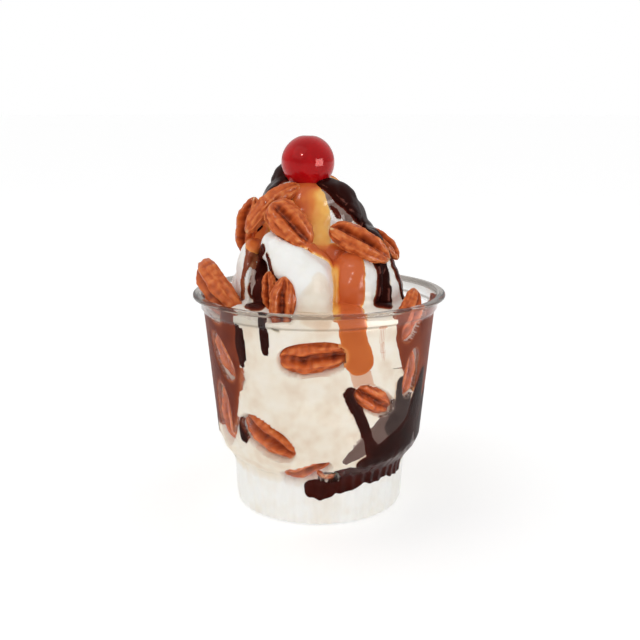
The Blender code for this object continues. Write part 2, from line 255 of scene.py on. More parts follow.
camera_data = bpy.data.cameras.new("camera")
camera_data.sensor_width = 36
camera_data.lens = FOCAL_PIXELS * 36 / PHOTO_SIDE
camera_data.shift_x = (PHOTO_SIDE / 2 - AXIS_PIXEL[0]) / PHOTO_SIDE
camera_data.shift_y = (AXIS_PIXEL[1] - PHOTO_SIDE / 2) / PHOTO_SIDE
camera_data.clip_start = 0.01
camera = bpy.data.objects.new("camera", camera_data)
camera.location = eye * MM
camera.rotation_euler = (math.pi / 2 - CAMERA_TILT, 0, 0)
bpy.context.scene.collection.objects.link(camera)
bpy.context.scene.camera = camera


def sight(px, py):
    """The way from the camera through that pixel of the photograph."""
    across = (px - AXIS_PIXEL[0]) / FOCAL_PIXELS
    up = (AXIS_PIXEL[1] - py) / FOCAL_PIXELS
    return (sight_ahead + Vector((across, 0, 0)) + sight_up * up).normalized()


def pixels_of(points):
    """Where an array of points falls in the photograph."""
    away = points - np.array(eye)
    depth = away @ np.array(sight_ahead)
    px = AXIS_PIXEL[0] + FOCAL_PIXELS * away[:, 0] / depth
    py = AXIS_PIXEL[1] - FOCAL_PIXELS * (away @ np.array(sight_up)) / depth
    return np.stack([px, py], axis=1)


# Pecan halves, roasted and lightly glazed: two long lobes with a furrow between them, wrinkled skin, and
# pale chips where the tips have broken.

PECAN_THICKNESS = 0.36
# The ridged side from its middle line outwards, as (height as a share of the half's, width as a share of a
# quarter turn): the furrow, the thin rib in it, a groove along each side, and the lobes between them
FURROW = (0.86, 0.15)
FURROW_RIB = (0.26, 0.05)
SIDE_GROOVE = (0.16, 0.07)
SIDE_GROOVE_PLACE = 0.56
LOBE = (0.14, 0.2)
LOBE_PLACE = 0.36
UNDERSIDE = 0.6
# Pecan halves: name, centre, direction of the length, direction the ridged side faces, length, and
# width as a share of the length
PECANS = [
    ("pecan_top_left", (-16.6, -12.5, 110.5), (-18, -5, -15.5), (-0.6, 0.0, 0.75), 25, 0.40),
    ("pecan_behind_left", (-25.2, -1.5, 102.5), (1.5, 0, 10), (-0.6, -0.8, 0.1), 21, 0.48),
    ("pecan_under_cherry", (-9.6, -22.6, 105.6), (14, -3, -15), (0.1, -0.85, 0.4), 19.5, 0.62),
    ("pecan_upper_right", (14.0, -22.0, 99.3), (19, -1, -10), (0.15, -0.8, 0.6), 23, 0.44),
    ("pecan_behind_right", (22.8, -10.0, 97.4), (7, -1, -6.5), (0.4, -0.6, 0.7), 15, 0.42),
    ("pecan_front", (-12.0, -33, 80.5), (1, 1, 10), (-0.1, -1, 0.2), 18, 0.50),
    ("pecan_front_fudged", (-16.6, -27.6, 83.6), (-1, 2, 10), (-0.5, -0.9, 0.2), 13.5, 0.43),
    ("pecan_in_fudge", (2.2, -27.5, 19.3), (0.3, -9.9, -0.1), (0.3, 0.1, 1), 17, 0.55),
    ("pecan_back_top", (-9, 15, 107), (8, 5, -5), (-0.2, 0.8, 0.6), 24, 0.50),
    ("pecan_back_right", (15, 17, 95.5), (-5, 4, 6), (0.5, 0.7, 0.5), 22, 0.46),
    ("pecan_back_left", (-20, 17, 92), (2, 3, -9), (-0.6, 0.7, 0.3), 22, 0.52),
]

# Pecan halves pressed to the wall: name, turn from the front, height, lean from level, how far the end
# that starts the length tips out of the cup, length, width. The turn, lean and tip are degrees.
WALL_PECANS = [
    ("pecan_on_left_rim", -68.5, 81.5, -36, 17, 28.5, 0.46),
    ("pecan_right_rim", 51, 74.5, 58, 0, 20, 0.50),
    ("pecan_wall_left_top", -56, 60.0, -52, 0, 21, 0.48),
    ("pecan_wall_left", -61, 38.5, 93, 0, 25, 0.46),
    ("pecan_wall_front", -3, 63.5, 6, 0, 25, 0.50),
    ("pecan_wall_right", 53, 54.5, 80, 0, 20, 0.48),
    ("pecan_wall_low_right", 29, 47.5, -33, 0, 20, 0.46),
    ("pecan_wall_low_left", -29, 33.5, -31, 0, 24.5, 0.46),
    ("pecan_on_shoulder", -8, 23.0, 27, 0, 21.5, 0.36),
    ("pecan_wall_back_right", 141, 50.0, 60, 0, 23, 0.50),
    ("pecan_wall_back_left", 218, 42.0, 12, 0, 24, 0.47),
]


def swelling(distance, height, width):
    """A soft rise of that height and width, at that distance from its middle."""
    return height * math.exp(-(distance / width) ** 2)


def pecan_half(length, width, seed):
    """A pecan half along X with its ridged side to +Z."""
    bm = bmesh.new()
    bmesh.ops.create_uvsphere(bm, u_segments=72, v_segments=48, radius=1)
    relief_shade_and_highlight, chip = bm.verts.layers.float.new("relief_shade_and_highlight"), bm.verts.layers.float.new("chip")
    lie = bm.verts.layers.float_vector.new("lie")
    for vert in bm.verts:
        along = vert.co.z
        around = math.atan2(vert.co.y, vert.co.x)
        across = (math.degrees(around) - 90) / 90
        uneven = noise.noise(Vector((along * 1.7, seed, 4)))
        girth = math.sqrt(max(0.0, 1 - abs(along) ** 2.5)) * (1 - 0.1 * along) * (1 + 0.16 * uneven)
        side, height = math.cos(around), math.sin(around)
        long_wrinkle = noise.noise(Vector((along * 2.2, across * 6, seed * 3)))
        cross_wrinkle = noise.noise(Vector((along * 8, across * 4, seed * 5)))
        furrow = 0.0
        if height > 0:
            middle = across + 0.10 * noise.noise(Vector((along * 2, seed, 0)))
            furrow = swelling(middle, *FURROW) - swelling(middle, *FURROW_RIB)
            furrow += swelling(abs(middle) - SIDE_GROOVE_PLACE - 0.06 * uneven, *SIDE_GROOVE)
            furrow *= 1 - along ** 6
            height *= 1 - furrow + swelling(abs(middle) - LOBE_PLACE, *LOBE)
        else:
            height *= UNDERSIDE
        swell = 1 + 0.13 * long_wrinkle + 0.08 * cross_wrinkle
        # Painted shade and highlight: this value drops in the furrow and side grooves and rises on the raised
        # wrinkles, standing in for how light falls on the relief
        vert[relief_shade_and_highlight] = 0.64 - 0.72 * max(0.0, furrow) ** 1.3 + 0.22 * long_wrinkle + 0.34 * cross_wrinkle
        tip = noise.noise(Vector((across * 2, seed * 7, along)))
        vert[chip] = max(0.0, min(1.0, (abs(along) + 0.2 * tip - 0.955) * 12))
        vert[lie] = Vector((along, across, seed)) * length / 2 * MM
        vert.co = length / 2 * Vector((
            along * (1 + 0.03 * cross_wrinkle),
            width * girth * side * swell,
            PECAN_THICKNESS * girth * height * swell - 0.1 * along * along,
        ))
    return bm


def pecan_place(centre, along, facing):
    """Where a pecan half lies: its centre, the way its length runs and the way its ridges face."""
    x_axis = Vector(along).normalized()
    z_axis = (Vector(facing) - Vector(facing).dot(x_axis) * x_axis).normalized()
    turn = Matrix((x_axis, z_axis.cross(x_axis), z_axis)).transposed().to_4x4()
    return Matrix.Translation(centre) @ turn


def against_wall(turn, height, lean, tip):
    """The centre, length and facing of a pecan half laid on the cup's wall."""
    angle = math.radians(turn)
    outward = Vector((math.sin(angle), -math.cos(angle), 0))
    level = Vector((math.cos(angle), math.sin(angle), 0))
    slope = (side_radius(height + 4) - side_radius(height - 4)) / 8
    up_wall = Vector((outward.x * slope, outward.y * slope, 1)).normalized()
    along = level * math.cos(math.radians(lean)) + up_wall * math.sin(math.radians(lean))
    along = along * math.cos(math.radians(tip)) - outward * math.sin(math.radians(tip))
    return outward * side_radius(height) + Vector((0, 0, height)), along, level.cross(up_wall)


def past_wall(spot):
    """Whether a spot lies deeper in the wall than it should, or over the lip and past the rim."""
    return spot.xy.length > (inner_wall(spot) + CONTACT if spot.z < CUP_HEIGHT + 0.3 else RIM_RADIUS)


pecan_skin, pecan_shader = finish_for(
    "roasted pecan", Roughness=0.36, Coat_Weight=0.15, Coat_Roughness=0.08, Specular_IOR_Level=0.2,
    Specular_Tint=tone(255, 214, 186),
)
pecan_relief_shade_and_highlight = wire(pecan_skin, "Attribute", {}, attribute_name="relief_shade_and_highlight").outputs["Fac"]
pecan_lie = wire(pecan_skin, "Attribute", {}, attribute_name="lie").outputs["Vector"]
pecan_lie = wire(pecan_skin, "Mapping", {"Vector": pecan_lie, "Scale": (0.7, 1.0, 1.0)}).outputs["Vector"]
pecan_fibre = wire(pecan_skin, "TexNoise", {"Vector": pecan_lie, "Scale": 620, "Detail": 5.0}).outputs["Fac"]
pecan_mottle = wire(pecan_skin, "MapRange", {
    "Value": pecan_fibre, "From Min": 0.3, "From Max": 0.7, "To Min": -0.09, "To Max": 0.09,
}).outputs["Result"]
pecan_tone_and_painted_relief = wire(pecan_skin, "Math", {0: pecan_relief_shade_and_highlight, 1: pecan_mottle}, operation="ADD").outputs["Value"]
# Its stops run from painted shade in the furrows, through the nut's own brown, to painted highlights on the
# ridges
pecan_brown_and_painted_relief = shades(pecan_skin, pecan_tone_and_painted_relief, [
    (0.05, tone(92, 32, 17)), (0.32, tone(150, 62, 28)), (0.60, tone(196, 92, 42)), (1.0, tone(230, 140, 78)),
])
pecan_chip = wire(pecan_skin, "Attribute", {}, attribute_name="chip").outputs["Fac"]
paint(pecan_skin, pecan_shader, blended(pecan_skin, pecan_chip, pecan_brown_and_painted_relief, tone(232, 190, 142)))
roughen(pecan_skin, pecan_shader, pecan_fibre, 0.35, 0.9)

pecan_rows = [(name, pose, length, width) for name, *pose, length, width in PECANS]
pecan_rows += [(name, against_wall(*pose), length, width) for name, *pose, length, width in WALL_PECANS]
bedded = []
for seed, (name, (centre, along, facing), length, width) in enumerate(pecan_rows):
    half = pecan_half(length, width, seed)
    centre = Vector(centre)
    inward = -Vector((centre.x, centre.y, 0)).normalized()
    place = pecan_place(centre, along, facing)
    while any(past_wall(place @ vert.co) for vert in half.verts):
        centre += inward * 0.1
        place = pecan_place(centre, along, facing)
    bmesh.ops.transform(half, matrix=place, verts=half.verts)
    set_down(name + "_half", half, pecan_skin, "pecan", name)
    bedded.append((place, length, width))


def coordinates(bm):
    """The places of all its points, as an array."""
    return np.array([vert.co for vert in bm.verts])


def smoothstep(value, low, high):
    """Runs smoothly from 0 at the low value to 1 at the high one."""
    share = np.clip((value - low) / (high - low), 0.0, 1.0)
    return share * share * (3 - 2 * share)


def over_pecan(points, place, length, width):
    """How far each point is out from the pecan's middle, 1 at its outline, and its height over it."""
    turn = np.array(place.to_3x3())
    local = (points - np.array(place.translation)) @ turn
    along = np.abs(local[:, 0]) / (length / 2)
    across = np.abs(local[:, 1]) / (length * width / 2)
    return (along ** 2.5 + across ** 2.2) ** 0.42, local[:, 2]


def make_room(bm, reach=0.34):
    """Presses the surface in under every pecan that lies on it, down to the pecan's middle."""
    points = coordinates(bm)
    for place, length, width in bedded:
        out, height = over_pecan(points, place, length, width)
        share = (1 - smoothstep(out, 0.84, 1.0)) * (height > 0) * (height < length * reach)
        points -= np.outer(height * share, np.array(place.to_3x3().col[2]))
    for vert, spot in zip(bm.verts, points):
        vert.co = spot


# How far the end of the pecan half in the fudge stands out of what it lies in
TIP_SHOWS = 0.4


def bare_tip(bm):
    """Draws the surface back from the end of the pecan that points to the front."""
    place, length, width = bedded[[row[0] for row in pecan_rows].index("pecan_in_fudge")]
    turn = np.array(place.to_3x3())
    points = coordinates(bm)
    local = (points - np.array(place.translation)) @ turn
    thickness = length / 2 * PECAN_THICKNESS * np.where(local[:, 2] > 0, 1.0, UNDERSIDE)
    out = (local[:, 1] / (length * width / 2)) ** 2 + (local[:, 2] / thickness) ** 2
    tip = length / 2 * np.clip(1 - out, 0, 1) ** 0.4 - TIP_SHOWS
    extra = np.clip(local[:, 0] - tip, 0, None) * (1 - smoothstep(out, 1.0, 1.3)) * (local[:, 0] > 0)
    for vert, spot in zip(bm.verts, points - np.outer(extra, turn[:, 0])):
        vert.co = spot


# Two scoops of frozen custard fill the cup. They are soft-served and pressed to the wall as they settle,
# with hollows where air stays behind, and the warm sauces stain them brown.

BASE_TOP = 21.0
MIDDLE_TOP = 59.0
# The hollows at the wall: their size, and how deep the large ones and the lumps in them are
HOLLOW_SIZE = 12
HOLLOW_DEPTH = 3.2
HOLLOW_LUMPS = 0.7


def base_top(x, y):
    """Height of the lowest scoop's wavy top."""
    return BASE_TOP + 1.2 * math.sin(x / 9) + math.cos(y / 8)


def middle_top(x, y):
    """Height of the middle scoop's wavy top."""
    return MIDDLE_TOP + 1.4 * math.sin(x / 8 + 1) + 1.2 * math.cos(y / 7)


def hollow(point):
    """How far the settled custard stands back from the wall there."""
    lumps = noise.noise(Vector((point.x, point.y, point.z * 1.2)) / HOLLOW_SIZE + Vector((3, 7, 1)))
    small = noise.noise(Vector((point.x, point.y, point.z)) / 3)
    seam = min(1.0, abs(point.z - MIDDLE_TOP) / 6)
    return (max(0.0, lumps - 0.12) * HOLLOW_DEPTH + max(0.0, lumps) * HOLLOW_LUMPS * small) * seam


def settled_scoop(low, high, rows, rings, depth):
    """A scoop that fills the cup between two wavy surfaces, with hollows of that share at the wall."""
    section = [(ring / rings, 0.0) for ring in range(rings)]
    section += [(1.0, row / rows) for row in range(rows + 1)]
    section += [(ring / rings, 1.0) for ring in range(rings - 1, -1, -1)]
    bm = turned(section, CUP_STEPS)
    for vert in bm.verts:
        share = vert.co.xy.length
        way = vert.co.xy.normalized()
        reach = side_radius(low(0, 0) + (high(0, 0) - low(0, 0)) * vert.co.z) * share
        floor, ceiling = low(*(way * reach)), high(*(way * reach))
        height = floor + (ceiling - floor) * vert.co.z
        spot = Vector((*way, height))
        wall = inner_wall(spot) + CONTACT
        spot.xy = way * wall * share
        spot.xy -= way * hollow(spot) * depth * share ** 12
        vert.co = spot
    make_room(bm)
    return bm


custard, custard_shader = finish_for(
    "frozen custard", Roughness=0.5, Subsurface_Weight=0.12, Subsurface_Scale=0.002,
)
custard_shader.inputs["Subsurface Radius"].default_value = (1.0, 0.8, 0.6)
# The custard's colour value carries sauce marks and, on the top scoop's smooth face, painted shade
custard_stain_and_shade = wire(custard, "Attribute", {}, attribute_name="stain_and_shade").outputs["Fac"]
custard_blotch = wire(custard, "MapRange", {
    "Value": grain(custard, 120, 3.0), "From Min": 0.35, "From Max": 0.75, "To Min": -0.06, "To Max": 0.10,
}).outputs["Result"]
custard_tone_and_shade = wire(custard, "Math", {0: custard_stain_and_shade, 1: custard_blotch}, operation="ADD").outputs["Value"]
paint(custard, custard_shader, shades(custard, custard_tone_and_shade, [
    (0.0, tone(243, 242, 238)), (0.35, tone(233, 222, 204)), (0.65, tone(205, 170, 136)),
    (1.0, tone(134, 80, 48)),
]))
roughen(custard, custard_shader, grain(custard, 700, 5.0), 0.22, 0.7)

base_bm = settled_scoop(lambda x, y: CUP_WALL - CONTACT, base_top, 26, 14, 0.0)
bare_tip(base_bm)
base_scoop = set_down("custard_base_scoop", base_bm, custard, "custard", "custard_base")
middle_bm = settled_scoop(base_top, middle_top, 58, 14, 1.0)
middle_scoop = set_down("custard_middle_scoop", middle_bm, custard, "custard", "custard_middle")


# The top scoop stands high over the rim. It is piled up from soft lumps that run together, with one smooth
# spatula-cut face to the front.

# Its lumps: centre, half-sizes
TOP_LUMPS = [
    ((0, 0, 63), (52, 52, 9)),
    ((-2, -12, 71), (44, 38, 9)),
    ((-3, -2, 80), (29, 28, 14)),
    ((-1, 1, 92), (23, 22, 18)),
    ((-2, 1, 104), (18, 17, 14)),
    ((-3, 0, 111), (16, 14, 9.5)),
    ((-9, 4, 117), (7, 7, 8)),
    ((-15.5, -20, 97), (4.5, 6, 5.5)),
    ((-9, -20, 92), (9, 9, 9)),
    ((-4, -20, 85), (10, 13, 12)),
    ((-2, -22, 78), (9, 13, 10)),
    ((-23, -12, 86), (6, 9, 13)),
    ((15, -8, 87), (12, 14, 15)),
    ((12, -19, 84), (9, 11, 12)),
    ((22, -10, 80), (7.5, 13, 12)),
    ((2, 15, 91), (18, 13, 17)),
    ((-17, 5, 92), (11, 13, 14)),
]
TOP_VOXEL = 0.6
# Over the rim the mound stays within this radius
MOUND_RADIUS = RIM_RADIUS - 3.5
# Outline of the smooth front face, in the photograph's pixels
SMOOTH_FACE = [
    (266, 242), (269, 237), (276, 235), (282, 238), (290, 242), (300.5, 247), (314.6, 257), (326.4, 265.6),
    (332, 276), (334, 289), (333, 309), (332, 330), (298, 330), (294.6, 310), (288.7, 295), (284, 284),
    (275, 276), (270, 263), (267, 249),
]
FACE_RISE = 3.0
# Outline of the dent to its left, where the sauce runs down and two pecans sit
SAUCE_DENT = [
    (249, 256), (262, 240), (266, 250), (270, 264), (276, 276), (286, 287), (292, 300), (296, 330),
    (246, 330), (247, 290),
]
DENT_DEPTH = 2.2
OVERLAP = 1.2


def run_together(bm, voxel, softness):
    """The lumps as one skin of even small faces."""
    bmesh.ops.scale(bm, vec=(MM, MM, MM), verts=bm.verts)
    mesh = bpy.data.meshes.new("lumps")
    bm.to_mesh(mesh)
    bm.free()
    lumps = bpy.data.objects.new("lumps", mesh)
    bpy.context.scene.collection.objects.link(lumps)
    join = lumps.modifiers.new("join", "REMESH")
    join.mode = "VOXEL"
    join.voxel_size = voxel * MM
    soften = lumps.modifiers.new("soften", "SMOOTH")
    soften.factor = 0.5
    soften.iterations = softness
    evaluated = lumps.evaluated_get(bpy.context.evaluated_depsgraph_get())
    skin = bmesh.new()
    skin.from_mesh(evaluated.to_mesh())
    evaluated.to_mesh_clear()
    bpy.data.objects.remove(lumps, do_unlink=True)
    bmesh.ops.scale(skin, vec=(1 / MM, 1 / MM, 1 / MM), verts=skin.verts)
    skin.normal_update()
    return skin


def depth_inside(pixels, outline):
    """How many pixels inside the outline each point is, below 0 outside it."""
    corners = np.array(outline, dtype=float)
    nearest = np.full(len(pixels), 1e9)
    crossings = np.zeros(len(pixels), dtype=int)
    for start, end in zip(corners, np.roll(corners, -1, axis=0)):
        side = end - start
        share = np.clip(((pixels - start) @ side) / (side @ side), 0, 1)
        nearest = np.minimum(nearest, np.linalg.norm(pixels - start - share[:, None] * side, axis=1))
        spans = (start[1] > pixels[:, 1]) != (end[1] > pixels[:, 1])
        rise = side[1] if side[1] else 1e-9
        crossings += spans & (pixels[:, 0] < start[0] + side[0] * (pixels[:, 1] - start[1]) / rise)
    return np.where(crossings % 2 == 1, nearest, -nearest)


top_bm = bmesh.new()
for centre, radii in TOP_LUMPS:
    bmesh.ops.create_icosphere(
        top_bm, subdivisions=4, radius=1, matrix=Matrix.Translation(centre) @ Matrix.Diagonal((*radii, 1)),
    )
top_bm = run_together(top_bm, TOP_VOXEL, 10)
top_pixels = pixels_of(coordinates(top_bm))
inside_face = depth_inside(top_pixels, SMOOTH_FACE)
rise = FACE_RISE * smoothstep(inside_face, -2.5, 4.0)
rise -= DENT_DEPTH * smoothstep(depth_inside(top_pixels, SAUCE_DENT), 0.0, 5.0)
for vert, lift, inside in zip(top_bm.verts, rise, inside_face):
    spot = vert.co.copy()
    rough = noise.noise(spot / 6) * 0.7 + noise.noise(spot / 2.4 + Vector((5, 1, 2))) * 0.3
    front = max(0.0, -vert.normal.y)
    vert.co -= sight_ahead * lift * min(1.0, front * 3)
    if inside > -2:
        rough *= 0.35
    vert.co += vert.normal * rough
bmesh.ops.smooth_vert(
    top_bm, verts=top_bm.verts, factor=0.5, use_axis_x=True, use_axis_y=True, use_axis_z=True,
)
for vert in top_bm.verts:
    bottom = middle_top(vert.co.x, vert.co.y) - OVERLAP
    vert.co.z = max(vert.co.z, bottom)
    if vert.co.z < CUP_HEIGHT - 1:
        wall = inner_wall(vert.co) + 1.4 * CONTACT
        if vert.co.xy.length > wall - 1.5:
            vert.co.xy = vert.co.xy.normalized() * min(vert.co.xy.length, wall)
    elif vert.co.xy.length > MOUND_RADIUS:
        vert.co.xy = vert.co.xy.normalized() * MOUND_RADIUS
make_room(top_bm)
top_scoop = set_down("custard_top_scoop", top_bm, custard, "custard", "custard_top")


# Hot fudge and caramel are poured on warm. They lie thick where they pool and thin at their edges, where
# the white shows through, and the wall flattens what runs down behind it.

def skin_of(piece):
    """A bmesh of a finished piece, in millimetres."""
    bm = bmesh.new()
    bm.from_mesh(piece.data)
    bmesh.ops.scale(bm, vec=(1 / MM, 1 / MM, 1 / MM), verts=bm.verts)
    bm.normal_update()
    return bm


mound = skin_of(top_scoop)
mound_tree = BVHTree.FromBMesh(mound)


def seen(px, py):
    """The spot on the mound that shows at that pixel."""
    spot = mound_tree.ray_cast(eye, sight(px, py))[0]
    if spot is None:
        spot = mound_tree.find_nearest(eye + sight(px, py) * CAMERA_DISTANCE)[0]
    return spot


def behind(x, z):
    """The spot on the mound's back there."""
    return mound_tree.ray_cast(Vector((x, 70, z)), Vector((0, -1, 0)))[0]


def on_wall(turn, height):
    """The spot on the cup's inner face that many degrees round from the front."""
    angle = math.radians(turn)
    way = Vector((math.sin(angle), -math.cos(angle), height))
    reach = inner_wall(way)
    return Vector((way.x * reach, way.y * reach, height))


def laid(runs, place):
    """Runs of sauce as lists of (spot, radius), with the depth of each."""
    return [(depth, [(place(*at), radius) for *at, radius in run]) for depth, *run in runs]


def poured(points, runs, wander):
    """How deep the sauce is over each point, where its runs melt together: 0 at its edge, below 0 outside."""
    outside = np.full(len(points), -1.0)
    total = np.zeros(len(points))
    weights = np.zeros(len(points))
    for depth, run in runs:
        near = np.full(len(points), -9.0)
        for (start, start_r), (end, end_r) in zip(run, run[1:] or run):
            side = np.array(end - start)
            share = np.clip(((points - np.array(start)) @ side) / max(side @ side, 1e-9), 0, 1)
            away = np.linalg.norm(points - np.array(start) - share[:, None] * side, axis=1) + wander
            radius = start_r + (end_r - start_r) * share
            near = np.maximum(near, 1 - away / radius)
        inside = np.clip(near, 0, 1)
        over = depth * np.sqrt(1 - (1 - np.minimum(inside * 2, 1)) ** 2)
        total += over * inside
        weights += inside
        outside = np.maximum(outside, np.clip(near * 2.5, -1, 0))
    return np.where(weights > 0, total / np.maximum(weights, 1e-9), outside)


def wandering(points, size, amount):
    """Noise over the points, in lumps of that size and up to about that amount."""
    return np.array([noise.noise(Vector(point) / size) * amount for point in points])


SAUCE_CONTACT = 0.22
EDGE_WANDER = 0.5
MOUND_SINK = 0.45


def pour(name, skin, runs, material, slot, sink=MOUND_SINK, at_wall=0.0):
    """Lays the runs on a copy of the skin, as a closed piece whose edge sinks below it."""
    bm = skin.copy()
    points = coordinates(bm)
    over = poured(points, runs, wandering(points, 2.5, EDGE_WANDER))
    if at_wall:
        for place, length, width in bedded:
            out, height = over_pecan(points, place, length, width)
            over = np.where(height > 0, np.minimum(over, (out - 0.9) * 8), over)
    thick, out = bm.verts.layers.float.new("thick"), bm.verts.layers.float_vector.new("out")
    for vert, height in zip(bm.verts, over):
        vert[thick] = height
        vert[out] = vert.normal
    bmesh.ops.delete(bm, geom=[vert for vert in bm.verts if vert[thick] < -0.4], context="VERTS")
    bmesh.ops.delete(bm, geom=[vert for vert in bm.verts if not vert.link_faces], context="VERTS")
    under = list(bm.verts)
    lifted = bmesh.ops.extrude_face_region(bm, geom=list(bm.faces))["geom"]
    for vert in under:
        vert.co -= Vector(vert[out]) * sink
    for vert in lifted:
        if isinstance(vert, bmesh.types.BMVert):
            height = vert[thick]
            if at_wall:
                height = min(height * 0.35, at_wall)
            vert.co += Vector(vert[out]) * max(height, -sink + 0.05)
            if vert.co.z < CUP_HEIGHT - 1:
                reach = inner_wall(vert.co) + (at_wall or SAUCE_CONTACT)
                vert.co.xy = vert.co.xy.normalized() * min(vert.co.xy.length, reach)
    return set_down(name, bm, material, slot)


def sauce(name, stops, roughness, gleam=(1, 1, 1, 1), shine=0.22):
    """A glossy sauce whose colour deepens with its thickness."""
    material, shader = finish_for(name, Roughness=roughness, Specular_IOR_Level=shine, Specular_Tint=gleam)
    thick = wire(material, "Attribute", {}, attribute_name="thick").outputs["Fac"]
    patchy = wire(material, "MapRange", {
        "Value": grain(material, 160, 2.0), "From Min": 0.3, "From Max": 0.7, "To Min": -0.12, "To Max": 0.12,
    }).outputs["Result"]
    depth = wire(material, "Math", {0: thick, 1: patchy}, operation="ADD").outputs["Value"]
    paint(material, shader, shades(material, depth, stops))
    roughen(material, shader, grain(material, 260, 2.0), 0.12, 0.6)
    return material


caramel = sauce("poured caramel", [
    (0.0, tone(246, 216, 156)), (0.3, tone(246, 186, 94)), (0.6, tone(228, 134, 62)),
    (1.0, tone(204, 98, 50)),
], 0.22)
fudge = sauce("hot fudge", [
    (0.0, tone(150, 100, 76)), (0.25, tone(104, 40, 26)), (0.55, tone(66, 20, 14)), (1.0, tone(36, 10, 8)),
], 0.16, tone(205, 120, 100), 0.14)
film = sauce("thin film of fudge", [
    (0.0, tone(180, 160, 150)), (0.3, tone(112, 88, 80)), (1.0, tone(80, 58, 52)),
], 0.2)
smears = sauce("caramel and fudge smeared in the white", [
    (0.0, tone(214, 182, 156)), (0.25, tone(176, 112, 76)), (0.6, tone(132, 62, 34)),
    (1.0, tone(104, 42, 24)),
], 0.24)
# Painted reflection: this greyish-white finish is laid on the fudge as its gleam
melted = sauce("painted reflection on the fudge", [(0.0, tone(150, 112, 98)), (1.0, tone(196, 176, 166))], 0.2)

# Each run is its depth, then points as (pixel across, pixel down, radius in millimetres)
caramel_runs = laid([
    [1.0, (306, 190, 5.4), (305, 204, 4.4), (304, 216, 4.0), (304, 230, 3.6), (304, 243, 3.0)],
    [0.5, (311, 199, 3.4), (312, 214, 3.4), (313, 230, 3.4)],
    [0.32, (317, 198, 3.4), (319, 208, 3.6), (320, 220, 3.7), (321, 236, 3.6), (321, 244, 3.0)],
    [1.1, (301, 242, 1.6), (312, 249, 2.8), (325, 255, 4.0), (337, 258, 5.0), (348, 259, 5.2)],
    [1.2, (348, 258, 4.8), (350, 270, 5.1), (350, 285, 5.0), (350, 300, 5.0), (351, 318, 5.0),
     (354, 328, 4.6)],
    [0.3, (337, 270, 2.0), (335.5, 290, 1.9), (336, 308, 1.8), (338, 318, 1.6)],
    [0.9, (263, 229, 4.4), (259, 238, 4.6), (254, 246, 3.0)],
], seen)
fudge_runs = laid([
    [1.8, (293, 168, 4.6), (284, 174, 5.0), (277, 183, 5.4), (271, 193, 5.4), (266, 204, 5.0),
     (262, 216, 4.4), (258, 228, 3.4)],
    [1.9, (324, 184, 3.2), (334, 187, 4.2), (343, 194, 5.0), (351, 204, 5.2), (359, 215, 4.8),
     (367, 227, 4.0), (375, 240, 2.8)],
    [0.5, (331, 207, 0.8), (335, 211, 1.1), (339, 217, 1.0)],
    [1.5, (373, 246, 2.4), (378, 260, 2.9), (381, 275, 2.9), (381.5, 290, 3.3), (381.5, 304, 3.8)],
    [0.7, (384, 248, 1.6), (392, 262, 1.6), (397, 276, 1.4), (400, 288, 1.3), (402, 297, 1.1)],
    [0.7, (264, 248, 1.6), (263, 260, 2.2), (260, 274, 2.8), (257, 290, 3.4), (256, 306, 4.0)],
    [0.5, (268, 256, 1.4), (271, 268, 1.8), (275, 278, 2.0), (282, 292, 2.4)],
], seen)
# Brown smears, half melted into the white
smear_runs = laid([
    [0.6, (260, 238, 3.4), (254, 246, 3.2), (250, 255, 1.8), (246, 268, 1.0), (243, 282, 1.0),
     (242, 300, 1.0)],
    [0.5, (256, 250, 1.4), (254, 262, 1.2), (253, 276, 0.9), (252, 292, 0.9)],
    [0.5, (384, 248, 1.6), (392, 262, 1.6), (398, 276, 1.6), (403, 290, 2.2), (406, 299, 2.6)],
], seen)
# Painted reflection: a greyish-white patch laid over the fudge where it gleams
painted_reflection_runs = laid([
    [0.9, (253, 272, 1.0), (252, 283, 1.5), (252, 293, 0.9)],
], seen)
film_runs = laid([
    [0.22, (328, 194, 3.0), (334, 200, 3.6), (342, 208, 3.6), (348, 217, 2.6)],
], seen)
pour("caramel_over_the_top", mound, caramel_runs, caramel, "fudge")
pour("fudge_over_the_top", mound, fudge_runs, fudge, "fudge")
pour("fudge_film", mound, film_runs, film, "fudge")
pour("brown_smears", mound, smear_runs, smears, "fudge")
# This piece is a painted reflection on the fudge
pour("painted_reflection_on_fudge", mound, painted_reflection_runs, melted, "custard")
back_caramel = laid([
    [1.3, (4, 117, 6), (7, 108, 6), (9, 98, 6), (8, 84, 5)],
], behind)
back_fudge = laid([
    [1.5, (-8, 116, 5), (-13, 104, 5), (-15, 90, 5)],
], behind)
pour("caramel_down_the_back", mound, back_caramel, caramel, "fudge")
pour("fudge_down_the_back", mound, back_fudge, fudge, "fudge")


# How brown the white is right beside the sauce
MELTED_IN = 0.55


def stain_and_shade(piece, in_cup, over_rim, runs, faint_tint_and_shade=()):
    """Colours a scoop: creamier in the cup, brown where warm sauce melts into it, and darker along the extra
    runs given last, which on the top scoop's smooth face are painted shade.
    """
    points = np.array([vert.co for vert in piece.data.vertices]) / MM
    blotch = wandering(points, 7, 0.5) + wandering(points, 2.5, 0.25)
    depth_in_cup = 1 - smoothstep(points[:, 2], 70, 84)
    amount = over_rim + (in_cup - over_rim) * depth_in_cup + 0.22 * depth_in_cup * blotch
    for run in runs:
        edge = np.clip(1 + poured(points, run, wandering(points, 1.6, 0.5)) * 3.2, 0, 1)
        amount = np.maximum(amount, edge * (MELTED_IN + 0.3 * blotch))
    # The extra runs darken the white: on the top scoop's face this is painted shade, on the lowest scoop a
    # creamier band
    for run in faint_tint_and_shade:
        amount += 0.5 * np.clip(poured(points, run, wandering(points, 5, 1.2)), 0, 1)
    layer = piece.data.attributes.new("stain_and_shade", "FLOAT", "POINT")
    layer.data.foreach_set("value", np.clip(amount, 0, 1))


